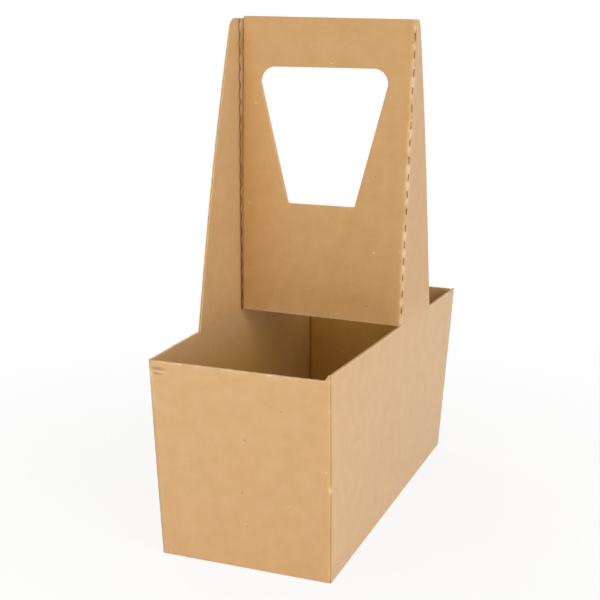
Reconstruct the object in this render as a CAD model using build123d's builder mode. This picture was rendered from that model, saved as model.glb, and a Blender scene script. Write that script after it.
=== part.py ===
from build123d import *
import os

# Folded card cup carrier: an open tub for two cups with a double card handle across its middle.
# It is one die-cut sheet of fine-flute board, so it is one solid. Millimetres, +Z up.
# X runs across the tub, Y along it, and the origin is the middle of the base, on the ground.
# Turned half round about Z, all but the glue flap meets itself: wings and panels are twins.

# Board
board = 1.5

# Tub, measured over the outside
rim_width = 90.0
rim_length = 213.0
base_width = 86.0
base_length = 201.0
base_fold_radius = 1.0
end_wall_height = 97.6
rim_rise = 2.7

# Handle
overall_height = 253.4
wing_foot = 51.5
wing_tip = 8.0
wing_bulge = 3.0
wing_corner_radius = 5.0
free_edge_gap = 2.0
free_edge_top_gap = 3.5

# Hand hole
hole_top_width = 72.0
hole_bottom_width = 36.0
hole_height = 69.5
hole_top_margin = 25.0
hole_top_radius = 6.2
hole_bottom_radius = 1.2

# Perforated folds
slit_length = 3.7
slit_width = 0.7
slit_pitch = 8.55

# Self-locking base and glue flap
base_seam = 1.0
seam_offset = 11.0
seam_jog = 9.0
end_flap_depth = 58.0
end_flap_tip_width = 30.0
glue_flap_width = 24.0
glue_flap_margin = 7.0

# Worked out from the sizes above
rim_height = end_wall_height + rim_rise
side_lean = (rim_width - base_width) / 2 / rim_height
end_lean = (rim_length - base_length) / 2 / rim_height
rim_fall = rim_rise / rim_length
middle_rim = end_wall_height + rim_rise / 2
leaf_foot = end_wall_height - board
overrun = board


def half_width(height):
    """Half the tub's outside width at a height, on the leaning plane of a side wall."""
    return base_width / 2 + side_lean * height


def half_length(height):
    """Half the tub's outside length at a height, on the leaning plane of an end wall."""
    return base_length / 2 + end_lean * height


def rim_at(place):
    """Height of the right wall's rim at a place along Y: high in front, low at the back."""
    return middle_rim - rim_fall * place


def flared_block(inset, foot):
    """Solid within the leaning wall planes, moved inwards by an inset, from a foot to the rim."""
    with BuildPart() as block:
        for plane, half_size, mode in (
            (Plane.XZ, half_width, Mode.ADD),
            (Plane.YZ, half_length, Mode.INTERSECT),
        ):
            low = half_size(foot) - inset
            high = half_size(rim_height) - inset
            with BuildSketch(plane):
                with BuildLine():
                    Polyline((-low, foot), (low, foot), (high, rim_height), (-high, rim_height), close=True)
                make_face()
            extrude(amount=rim_length, both=True, mode=mode)
    return block.part


tub_outside = flared_block(0, 0)
tub_inside = flared_block(board, board)

# One leaf of the handle: the wing over the right wall and the panel hinged on its front edge
with BuildPart() as leaf:
    wall_foot = half_width(leaf_foot)
    wall_top = half_width(overall_height)
    with BuildSketch(Plane.XZ):
        with BuildLine():
            Polyline(
                (wall_foot, leaf_foot),
                (wall_top, overall_height),
                (wall_top - board, overall_height),
                (wall_foot - board, leaf_foot),
                close=True,
            )
        make_face()
    extrude(amount=-wing_foot)

    hinge_top = wall_top - board
    free_top = free_edge_top_gap - hinge_top
    with BuildSketch(Plane.XZ):
        with BuildLine():
            Polyline(
                (wall_foot, leaf_foot),
                (wall_top, overall_height),
                (free_top, overall_height),
                (board + free_edge_gap - wall_foot, leaf_foot),
                close=True,
            )
        make_face()
    extrude(amount=board)
    fold_line = Vector(side_lean, 0, 1)
    fillet(leaf.edges().filter_by(Axis((0, 0, 0), fold_line)).sort_by(Axis.Y)[0], board)

    # The panel's edges were cut along the line of the rim before it was folded across
    hinge_foot = half_width(middle_rim) - board
    far_edge = -half_width(middle_rim)
    fold_top = overall_height - rim_fall * (hinge_top - free_top)
    with BuildSketch(Plane.XZ):
        with BuildLine():
            Polyline(
                (wall_foot - board, leaf_foot),
                (hinge_foot, middle_rim),
                (far_edge, rim_at(far_edge - hinge_foot)),
                (far_edge, leaf_foot),
                close=True,
            )
        make_face()
        with BuildLine():
            Polyline(
                (free_top, overall_height),
                (hinge_top, fold_top),
                (wall_top, fold_top),
                (wall_top, overall_height),
                close=True,
            )
        make_face()
    extrude(amount=board, mode=Mode.SUBTRACT)

    # The wing's bowed outer edge, with a round corner at its top
    with BuildSketch(Plane.YZ) as wing_outline:
        foot = Vector(wing_foot, rim_at(wing_foot))
        tip = Vector(wing_tip, fold_top - rim_fall * wing_tip)
        with BuildLine():
            SagittaArc(foot, tip, -wing_bulge)
            Polyline(
                tip,
                (0, fold_top),
                (0, overall_height),
                (-board, overall_height),
                (-board, leaf_foot),
                (wing_foot, leaf_foot),
                foot,
            )
        make_face()
        fillet(wing_outline.vertices().sort_by_distance(tip)[0], min(wing_corner_radius, wing_tip - board))
    extrude(amount=rim_width, both=True, mode=Mode.INTERSECT)

    # Hand hole, wide at the top
    with BuildSketch(Plane.XZ) as hole_outline:
        hole_top = overall_height - hole_top_margin
        hole_bottom = hole_top - hole_height
        with BuildLine():
            Polyline(
                (-hole_top_width / 2, hole_top),
                (hole_top_width / 2, hole_top),
                (hole_bottom_width / 2, hole_bottom),
                (-hole_bottom_width / 2, hole_bottom),
                close=True,
            )
        make_face()
        fillet(hole_outline.vertices().group_by(Axis.Y)[-1], hole_top_radius)
        fillet(hole_outline.vertices().group_by(Axis.Y)[0], hole_bottom_radius)
    extrude(amount=board, mode=Mode.SUBTRACT)

    # Row of slits through the round of the fold, along its leaning line
    fold_height = fold_top - middle_rim
    fold_middle = middle_rim + fold_height / 2
    fold_face = Vector(1, 1, 0).cross(fold_line)
    slit_plane = Plane(
        origin=(half_width(fold_middle), -board, fold_middle),
        x_dir=fold_line.cross(fold_face),
        z_dir=fold_face,
    )
    with BuildSketch(slit_plane):
        with GridLocations(0, slit_pitch, 1, int(fold_height / slit_pitch)):
            Rectangle(slit_width, slit_length)
    extrude(amount=-2 * board, mode=Mode.SUBTRACT)


with BuildPart() as carrier:
    # Tub walls, flaring to the rim, with a round fold at each corner and along the base
    add(tub_outside)
    fillet(carrier.edges().group_by(Axis.Z)[1], board)
    fillet(carrier.edges().group_by(Axis.Z)[0], base_fold_radius)
    add(tub_inside, mode=Mode.SUBTRACT)

    for side in (1, -1):
        # Side rim, falling from its high corner to the end wall at its other corner
        side_plane = Plane(
            origin=(side * (rim_width / 2 - 2 * board), 0, 0),
            x_dir=(0, side, 0),
            z_dir=(side, 0, 0),
        )
        reach = rim_length / 2 + overrun
        with BuildSketch(side_plane):
            with BuildLine():
                Polyline(
                    (-reach, rim_at(-reach)),
                    (reach, rim_at(reach)),
                    (reach, rim_height + overrun),
                    (-reach, rim_height + overrun),
                    close=True,
                )
            make_face()
        extrude(amount=2 * board + overrun, mode=Mode.SUBTRACT)

        # End rim, level, with a short shoulder up to the high corner
        end_plane = Plane(
            origin=(0, -side * (rim_length / 2 - 2 * board), 0),
            x_dir=(side, 0, 0),
            z_dir=(0, -side, 0),
        )
        reach = rim_width / 2 + overrun
        shoulder = rim_width / 2 - board
        with BuildSketch(end_plane):
            with BuildLine():
                Polyline(
                    (-reach, end_wall_height),
                    (shoulder - board, end_wall_height),
                    (shoulder, rim_height),
                    (shoulder, rim_height + overrun),
                    (-reach, rim_height + overrun),
                    close=True,
                )
            make_face()
        extrude(amount=2 * board + overrun, mode=Mode.SUBTRACT)

    # Base flaps of the side walls: they leave a corner to corner gap at each end and a hooked seam
    inner_width = base_width / 2 - board
    inner_length = base_length / 2 - board
    seam_end = inner_length - inner_width
    with BuildSketch():
        for side in (1, -1):
            with BuildLine():
                Polyline(
                    (-side * inner_width, -side * inner_length),
                    (side * inner_width, -side * inner_length),
                    (-side * seam_offset, -side * (seam_end - seam_offset)),
                    (-side * seam_offset, -side * (seam_end + seam_offset)),
                    close=True,
                )
            make_face()
        with BuildLine():
            Polyline(
                (-seam_offset, -seam_end),
                (-seam_offset, -seam_jog),
                (seam_offset, seam_jog),
                (seam_offset, seam_end),
            )
        trace(line_width=base_seam)
    extrude(amount=board, mode=Mode.SUBTRACT)

    # Base flaps of the end walls, lying on the wide ones inside the tub
    with BuildSketch(Plane.XY.offset(board)):
        for side in (1, -1):
            with BuildLine():
                Polyline(
                    (-inner_width, -side * (inner_length + board / 2)),
                    (inner_width, -side * (inner_length + board / 2)),
                    (end_flap_tip_width / 2, -side * (inner_length - end_flap_depth)),
                    (-end_flap_tip_width / 2, -side * (inner_length - end_flap_depth)),
                    close=True,
                )
            make_face()
    extrude(amount=board)

    # Glue flap of the back wall, on the inside of the right wall
    flap_plane = Plane(
        origin=(base_width / 2 - board, 0, 0),
        x_dir=(0, 1, 0),
        z_dir=(1, 0, -side_lean),
    )
    flap_top = end_wall_height - glue_flap_margin
    flap_edge = half_length(end_wall_height) - board - glue_flap_width
    with BuildSketch(flap_plane):
        with BuildLine():
            Polyline(
                (half_length(2 * board) - board, 2 * board),
                (half_length(end_wall_height) - board, end_wall_height - board),
                (flap_edge, flap_top),
                (flap_edge, 2 * board + glue_flap_margin),
                close=True,
            )
        make_face()
    extrude(amount=board, dir=(-1, 0, 0))

    # The two leaves of the handle, glued panel to panel
    add(leaf.part)
    add(leaf.part, rotation=(0, 0, 180))

carrier.part.label = "carrier"

os.makedirs("parts", exist_ok=True)
export_step(carrier.part, "parts/carrier.step")
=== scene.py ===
"""Kraft board cup carrier, folded from one die-cut sheet: an open tub with a double card handle."""

import logging
import math
from dataclasses import dataclass
from enum import Enum

import bpy
import numpy as np
from mathutils import Matrix, Vector
from mathutils.geometry import delaunay_2d_cdt


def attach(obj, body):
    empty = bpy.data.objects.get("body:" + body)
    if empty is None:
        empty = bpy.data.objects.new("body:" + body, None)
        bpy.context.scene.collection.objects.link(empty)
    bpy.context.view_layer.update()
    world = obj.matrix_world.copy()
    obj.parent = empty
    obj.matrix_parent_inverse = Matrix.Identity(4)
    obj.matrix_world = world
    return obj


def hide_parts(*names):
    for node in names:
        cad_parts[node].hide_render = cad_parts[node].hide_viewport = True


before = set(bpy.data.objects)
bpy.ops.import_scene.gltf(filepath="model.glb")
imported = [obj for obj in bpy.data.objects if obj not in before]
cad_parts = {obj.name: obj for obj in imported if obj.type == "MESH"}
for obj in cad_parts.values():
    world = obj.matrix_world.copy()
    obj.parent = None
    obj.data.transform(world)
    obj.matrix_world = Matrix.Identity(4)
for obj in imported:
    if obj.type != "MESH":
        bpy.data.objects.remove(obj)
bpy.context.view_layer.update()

LOG = logging.getLogger("cup_carrier")
MM = 0.001


def linear(hex_colour: str) -> tuple[float, float, float, float]:
    """Turns an sRGB hex colour into linear light.

    Args:
        hex_colour: Six hex digits after a hash sign.

    Returns:
        Red, green, blue and full alpha, in linear light.
    """
    parts = [int(hex_colour[i : i + 2], 16) / 255 for i in (1, 3, 5)]
    lit = [p / 12.92 if p <= 0.04045 else ((p + 0.055) / 1.055) ** 2.4 for p in parts]
    return (lit[0], lit[1], lit[2], 1.0)


def add_node(
    tree: bpy.types.NodeTree,
    kind: str,
    settings: dict | None = None,
    inputs: dict | None = None,
) -> bpy.types.Node:
    """Adds one node with its settings, socket values and links.

    Args:
        tree: Node tree that takes the node.
        kind: Blender's name for the kind of node.
        settings: Properties of the node, by name.
        inputs: Socket values or output sockets to link from, by socket name or index.

    Returns:
        The new node.
    """
    node = tree.nodes.new(kind)
    for name, value in (settings or {}).items():
        setattr(node, name, value)
    for key, value in (inputs or {}).items():
        socket = node.inputs[key]
        if isinstance(value, bpy.types.NodeSocket):
            tree.links.new(value, socket)
        else:
            socket.default_value = value
    return node


def smooth(x: np.ndarray) -> np.ndarray:
    """Eases from 0 to 1 as x goes from 0 to 1."""
    t = np.clip(x, 0.0, 1.0)
    return t * t * (3 - 2 * t)


def bell(off: np.ndarray, width: float) -> np.ndarray:
    """Falls from 1 at no distance towards 0, over a width to each side."""
    return np.exp(-((off / width) ** 2))


def rounded(corners: list[tuple[float, float, float]], arc_steps: int = 7) -> list[tuple[float, float]]:
    """Rounds the corners of a closed outline.

    Args:
        corners: Corner points, each with the radius of its round.
        arc_steps: Points along each round.

    Returns:
        The outline with its rounds as points.
    """
    made = []
    count = len(corners)
    for i, (x, y, radius) in enumerate(corners):
        here = np.array((x, y))
        if radius <= 0:
            made.append((x, y))
            continue
        before = np.array(corners[i - 1][:2]) - here
        after = np.array(corners[(i + 1) % count][:2]) - here
        before /= np.linalg.norm(before)
        after /= np.linalg.norm(after)
        half = math.acos(float(np.clip(before @ after, -1, 1))) / 2
        bisector = (before + after) / np.linalg.norm(before + after)
        centre = here + bisector * radius / math.sin(half)
        start = here + before * radius / math.tan(half) - centre
        end = here + after * radius / math.tan(half) - centre
        for k in range(arc_steps + 1):
            along = start + (end - start) * k / arc_steps
            along *= radius / np.linalg.norm(along)
            made.append(tuple(centre + along))
    return made


def stepped(outline: list[tuple[float, float]], step: float) -> np.ndarray:
    """Divides a closed outline's long edges into steps.

    Args:
        outline: Points of the outline.
        step: Longest edge that is left, in millimetres.

    Returns:
        Points of the divided outline, one row each.
    """
    made = []
    for i, point in enumerate(outline):
        a = np.array(point)
        b = np.array(outline[(i + 1) % len(outline)])
        parts = max(1, math.ceil(np.linalg.norm(b - a) / step))
        made.extend(a + (b - a) * k / parts for k in range(parts))
    return np.array(made)


def within(points: np.ndarray, loops: list[np.ndarray]) -> np.ndarray:
    """Tells which points are on the card, inside its outline and outside its holes.

    Args:
        points: Flat points, one row each.
        loops: The outline and the holes.

    Returns:
        True for each point that is on the card.
    """
    inside = np.zeros(len(points), bool)
    x, y = points[:, 0], points[:, 1]
    for loop in loops:
        for a, b in zip(loop, np.roll(loop, -1, axis=0)):
            if a[1] == b[1]:
                continue
            crosses = (a[1] > y) != (b[1] > y)
            inside ^= crosses & (x < a[0] + (b[0] - a[0]) * (y - a[1]) / (b[1] - a[1]))
    return inside


class Side(Enum):
    """The two sides of the carrier, as signs of X."""

    RIGHT = 1
    LEFT = -1


class End(Enum):
    """The two ends of the carrier, as signs of Y."""

    BACK = 1
    FRONT = -1


class Layer(Enum):
    """The surfaces of the board, as material slots."""

    OUTER_LINER = 0
    INNER_LINER = 1
    CUT_EDGE = 2


@dataclass(frozen=True)
class CartonSizes:
    """Sizes of the carrier in millimetres, with its folds as round as the card shows them."""

    board: float = 1.5
    fold_radius: float = 1.7
    base_fold_radius: float = 0.8
    rim_width: float = 90.0
    rim_length: float = 213.0
    base_width: float = 86.0
    base_length: float = 201.0
    end_wall_height: float = 97.6
    rim_rise: float = 2.7
    overall_height: float = 253.4
    free_edge_gap: float = 2.0
    free_edge_top_gap: float = 3.5

    @property
    def rim_height(self) -> float:
        """Height of the two high corners of the rim."""
        return self.end_wall_height + self.rim_rise

    @property
    def middle_rim(self) -> float:
        """Height of a side rim halfway along it."""
        return self.end_wall_height + self.rim_rise / 2

    def half_width(self, height: np.ndarray | float) -> np.ndarray | float:
        """Half the outside width at a height, on the leaning plane of a side wall."""
        return self.base_width / 2 + (self.rim_width - self.base_width) / 2 / self.rim_height * height

    def half_length(self, height: np.ndarray | float) -> np.ndarray | float:
        """Half the outside length at a height, on the leaning plane of an end wall."""
        return self.base_length / 2 + (self.rim_length - self.base_length) / 2 / self.rim_height * height

    @property
    def fall(self) -> float:
        """How far a side rim and the handle's top edge fall for each millimetre along them."""
        return self.rim_rise / self.rim_length

    def rim_at(self, place: np.ndarray | float) -> np.ndarray | float:
        """Height of the right rim at a place along Y."""
        return self.middle_rim - self.fall * place

    @property
    def fold_top(self) -> float:
        """Height of a handle panel's top edge at its fold, below the free edge's."""
        hinge = self.half_width(self.overall_height) - self.board
        return self.overall_height - self.fall * (2 * hinge - self.free_edge_top_gap)

    def free_edge(self, height: np.ndarray | float) -> np.ndarray | float:
        """Finds the right panel's free edge.

        Args:
            height: Height on the panel.

        Returns:
            Place across the carrier.
        """
        foot, top = self.end_wall_height - self.board, self.overall_height
        low = self.board + self.free_edge_gap - self.half_width(foot)
        high = self.board + self.free_edge_top_gap - self.half_width(top)
        return low + (high - low) * (height - foot) / (top - foot)

    def wall_middle(self, side: Side) -> float:
        """Where a side wall's middle lies along the blank, which runs back, left, front, right."""
        start = self.rim_width if side is Side.LEFT else 2 * self.rim_width + self.rim_length
        return start + self.rim_length / 2


@dataclass(frozen=True)
class SprungCard:
    """How far the folded card has sprung from its true planes, most at the rim's corners."""

    sizes: CartonSizes
    front_left: float = -1.6
    front_right: float = -1.9
    back_right: float = 2.5
    back_left: float = -1.8
    wave: float = 0.12
    handle_shift: float = -1.5
    handle_lean: float = -1.2

    def lean(self, height: np.ndarray) -> np.ndarray:
        """How far the handle stands forward of the middle at a height."""
        rim, top = self.sizes.middle_rim, self.sizes.overall_height
        return self.handle_shift + self.handle_lean * (height - rim) / (top - rim)

    def bend(self, points: np.ndarray) -> np.ndarray:
        """Moves true points to where the sprung card has them.

        Args:
            points: Points in millimetres, one row each.

        Returns:
            The moved points.
        """
        x, y, z = points.T
        rim, top = self.sizes.middle_rim, self.sizes.overall_height
        share = np.where(z < rim, z / rim, (top - z) / (top - rim)).clip(0, 1)
        right = (1 + x / self.sizes.half_width(z)).clip(0, 2) / 2
        back = (1 + y / self.sizes.half_length(rim)).clip(0, 2) / 2
        at_left = self.front_left * (1 - back) + self.back_left * back
        at_right = self.front_right * (1 - back) + self.back_right * back
        moved = points.copy()
        moved[:, 0] += share * (at_left * (1 - right) + at_right * right)
        # Slow waves of unlike lengths, so that the side walls look handled and not ruled
        ripple = np.sin(y / 17.0 + 1.3) * np.sin(z / 23.0) + 0.6 * np.sin(y / 9.1 + z / 31.0)
        on_side = np.abs(x) > self.sizes.base_width / 2 - 2 * self.sizes.board
        moved[:, 0] += self.wave * share * ripple * np.sign(x) * on_side
        return moved


@dataclass(frozen=True)
class KraftLiner:
    """Unbleached kraft liner, calendered on the machine and glued to the flutes.

    To the eye it is a warm brown paper, cloudy close to, with fibres and a few scraps in its face, a
    faint shine at a low angle, darker where a fold has crushed it and where shade is painted in, and
    paler where it has been rubbed and where a highlight is painted in.
    """

    name: str
    # A painted shade over part of the sheet, and the heights on the blank between which it comes in
    painted_shade: str
    painted_shade_from: float
    painted_shade_to: float
    body: str = "#D1A469"
    cloud: str = "#CA9C5F"
    fleck: str = "#6E4416"
    # Crease colour for crushed folds and painted shade; pale colour for rubs, painted highlights, scraps
    crease_and_shade: str = "#5E3206"
    wear_and_highlight: str = "#EBD3AC"
    roughness: float = 0.5
    shine: float = 0.9
    nap: float = 0.25
    # Sizes in millimetres, real but for the fibres'
    flute_pitch: float = 3.2
    cloud_size: float = 9.0
    fibre_width: float = 0.45
    fibre_length: float = 3.2
    fleck_spacing: float = 22.0
    fleck_core: float = 0.2
    fleck_size: float = 0.5
    # How much clouds, crossing fibres and flutes count beside the fibres, and the range of their sum
    cloud_share: float = 2.0
    crossing_share: float = 0.8
    flute_share: float = 0.03
    thin: float = 1.55
    full: float = 2.25

    def pulp(
        self, tree: bpy.types.NodeTree, blank: bpy.types.NodeSocket
    ) -> tuple[bpy.types.NodeSocket, ...]:
        """Lays the pulp: clouds, two webs of fibres and the flutes that show through.

        Args:
            tree: The material's node tree.
            blank: Socket of the place on the blank, in millimetres.

        Returns:
            Sockets of the fibres, of the tone from cloud to full paper, and of the face's relief.
        """
        # Pulp dries in soft clouds about a fingertip wide, hardly darker than the sheet
        clouds = add_node(
            tree,
            "ShaderNodeTexNoise",
            inputs={"Vector": blank, "Scale": 1 / self.cloud_size, "Detail": 3.0, "Roughness": 0.6},
        )
        # Most fibres lie along the web and shorter ones cross it; they are drawn a few times coarser
        # than real so that they show
        webs = []
        for turn, shorter, detail, roughness in ((0.12, 1.0, 3.0, 0.65), (0.9, 0.7, 2.0, 0.6)):
            laid = add_node(
                tree,
                "ShaderNodeMapping",
                inputs={
                    "Vector": blank,
                    "Rotation": (0.0, 0.0, turn),
                    "Scale": (1 / self.fibre_width, 1 / (shorter * self.fibre_length), 1.0),
                },
            )
            web = add_node(
                tree,
                "ShaderNodeTexNoise",
                inputs={
                    "Vector": laid.outputs["Vector"],
                    "Scale": 1.0,
                    "Detail": detail,
                    "Roughness": roughness,
                },
            )
            webs.append(web.outputs["Fac"])
        fibres, crossing = webs
        # The liner dips a little between the flute tips it is glued to; a wave has 20 radians a unit
        flutes = add_node(
            tree,
            "ShaderNodeTexWave",
            {"wave_type": "BANDS", "bands_direction": "X", "wave_profile": "SIN"},
            {
                "Vector": blank,
                "Scale": 2 * math.pi / 20 / self.flute_pitch,
                "Distortion": 0.6,
                "Detail": 1.0,
            },
        )
        mixed = fibres
        for layer, share in (
            (clouds.outputs["Fac"], self.cloud_share),
            (crossing, self.crossing_share),
            (flutes.outputs["Fac"], self.flute_share),
        ):
            step = add_node(
                tree,
                "ShaderNodeMath",
                {"operation": "MULTIPLY_ADD"},
                {0: layer, 1: share, 2: mixed},
            )
            mixed = step.outputs["Value"]
        tone = add_node(
            tree,
            "ShaderNodeMapRange",
            inputs={"Value": mixed, "From Min": self.thin, "From Max": self.full},
        )
        relief = add_node(
            tree,
            "ShaderNodeMath",
            {"operation": "MULTIPLY_ADD"},
            {0: flutes.outputs["Fac"], 1: 0.3, 2: mixed},
        )
        return fibres, tone.outputs["Result"], relief.outputs["Value"]

    def paper_with_painted_shade(
        self, tree: bpy.types.NodeTree, blank: bpy.types.NodeSocket, tone: bpy.types.NodeSocket
    ) -> bpy.types.NodeSocket:
        """Colours the clean paper, and multiplies a painted shade over part of the sheet.

        Args:
            tree: The material's node tree.
            blank: Socket of the place on the blank, in millimetres.
            tone: Socket of the tone from cloud to full paper.

        Returns:
            Socket of the colour.
        """
        sheet = add_node(
            tree,
            "ShaderNodeMix",
            {"data_type": "RGBA"},
            {0: tone, 6: linear(self.cloud), 7: linear(self.body)},
        )
        apart = add_node(tree, "ShaderNodeSeparateXYZ", inputs={0: blank})
        painted_shade_share = add_node(
            tree,
            "ShaderNodeMapRange",
            {"interpolation_type": "SMOOTHSTEP"},
            {"Value": apart.outputs["Y"], "From Min": self.painted_shade_from, "From Max": self.painted_shade_to},
        )
        # Painted shade, multiplied in between the two heights on the blank
        shaded = add_node(
            tree,
            "ShaderNodeMix",
            {"data_type": "RGBA", "blend_type": "MULTIPLY"},
            {0: painted_shade_share.outputs["Result"], 6: sheet.outputs[2], 7: linear(self.painted_shade)},
        )
        return shaded.outputs[2]

    def flecked(
        self, tree: bpy.types.NodeTree, blank: bpy.types.NodeSocket, ground: bpy.types.NodeSocket
    ) -> bpy.types.NodeSocket:
        """Scatters scraps of bark fibre and of pale pulp in the face, some of them faint.

        Args:
            tree: The material's node tree.
            blank: Socket of the place on the blank, in millimetres.
            ground: Socket of the paper's colour.

        Returns:
            Socket of the colour.
        """
        scraps = add_node(
            tree,
            "ShaderNodeTexVoronoi",
            {"feature": "F1", "voronoi_dimensions": "2D"},
            {"Vector": blank, "Scale": 1 / self.fleck_spacing},
        )
        chance = add_node(tree, "ShaderNodeSeparateColor", inputs={0: scraps.outputs["Color"]})
        strength = add_node(
            tree,
            "ShaderNodeMapRange",
            inputs={"Value": chance.outputs["Red"], "From Min": 0.2, "From Max": 1.0, "To Max": 0.9},
        )
        spot = add_node(
            tree,
            "ShaderNodeMapRange",
            inputs={
                "Value": scraps.outputs["Distance"],
                "From Min": self.fleck_core / self.fleck_spacing,
                "From Max": self.fleck_size / self.fleck_spacing,
                "To Min": strength.outputs["Result"],
                "To Max": 0.0,
            },
        )
        dark = add_node(
            tree,
            "ShaderNodeMapRange",
            inputs={"Value": chance.outputs["Green"], "From Min": 0.6, "From Max": 0.65},
        )
        scrap = add_node(
            tree,
            "ShaderNodeMix",
            {"data_type": "RGBA"},
            {0: dark.outputs["Result"], 6: linear(self.wear_and_highlight), 7: linear(self.fleck)},
        )
        flecked = add_node(
            tree,
            "ShaderNodeMix",
            {"data_type": "RGBA"},
            {0: spot.outputs["Result"], 6: ground, 7: scrap.outputs[2]},
        )
        return flecked.outputs[2]

    def marked(
        self,
        tree: bpy.types.NodeTree,
        ground: bpy.types.NodeSocket,
        crease_and_shade: bpy.types.NodeSocket,
        tone: bpy.types.NodeSocket,
    ) -> bpy.types.NodeSocket:
        """Darkens crushed folds and painted shade, and pales rubbed edges and painted highlights, most
        where the paper is full.

        Args:
            tree: The material's node tree.
            ground: Socket of the paper's colour.
            crease_and_shade: Socket of the crease darkness, painted shade included.
            tone: Socket of the tone from cloud to full paper.

        Returns:
            Socket of the colour.
        """
        # Crushed folds and painted shade darken; rubs and painted highlights pale
        creased_and_shaded = add_node(
            tree,
            "ShaderNodeMix",
            {"data_type": "RGBA"},
            {0: crease_and_shade, 6: ground, 7: linear(self.crease_and_shade)},
        )
        rubs_and_highlights = add_node(tree, "ShaderNodeAttribute", {"attribute_name": "wear_and_highlight"})
        rub_and_highlight_share = add_node(
            tree,
            "ShaderNodeMath",
            {"operation": "MULTIPLY", "use_clamp": True},
            {0: rubs_and_highlights.outputs["Fac"], 1: tone},
        )
        colour = add_node(
            tree,
            "ShaderNodeMix",
            {"data_type": "RGBA"},
            {0: rub_and_highlight_share.outputs["Value"], 6: creased_and_shaded.outputs[2], 7: linear(self.wear_and_highlight)},
        )
        return colour.outputs[2]

    def material(self) -> bpy.types.Material:
        """Makes the paper's material.

        Returns:
            The new material.
        """
        made = bpy.data.materials.new(self.name)
        made.use_nodes = True
        tree = made.node_tree
        tree.nodes.clear()
        blank = add_node(tree, "ShaderNodeAttribute", {"attribute_name": "blank"}).outputs["Vector"]
        crease_and_shade = add_node(tree, "ShaderNodeAttribute", {"attribute_name": "crease_and_shade"}).outputs["Fac"]
        fibres, tone, relief = self.pulp(tree, blank)
        paper = self.flecked(tree, blank, self.paper_with_painted_shade(tree, blank, tone))
        bump = add_node(
            tree,
            "ShaderNodeBump",
            inputs={"Height": relief, "Strength": 0.22, "Distance": 0.06 * MM},
        )
        rough = add_node(
            tree,
            "ShaderNodeMapRange",
            inputs={
                "Value": fibres,
                "From Min": 0.3,
                "From Max": 0.7,
                "To Min": self.roughness - 0.05,
                "To Max": self.roughness + 0.05,
            },
        )
        # A crushed fold has lost the calendered shine and the nap of the flat sheet, and so have the places
        # of painted shade
        shine, nap = (
            add_node(
                tree,
                "ShaderNodeMapRange",
                inputs={"Value": crease_and_shade, "From Max": 0.6, "To Min": whole, "To Max": 0.0},
            )
            for whole in (self.shine, self.nap)
        )
        shader = add_node(
            tree,
            "ShaderNodeBsdfPrincipled",
            inputs={
                "Base Color": self.marked(tree, paper, crease_and_shade, tone),
                "Roughness": rough.outputs["Result"],
                "IOR": 1.5,
                "Specular IOR Level": shine.outputs["Result"],
                "Sheen Weight": nap.outputs["Result"],
                "Sheen Roughness": 0.5,
                "Normal": bump.outputs["Normal"],
            },
        )
        add_node(tree, "ShaderNodeOutputMaterial", inputs={"Surface": shader.outputs["BSDF"]})
        return made


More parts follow.
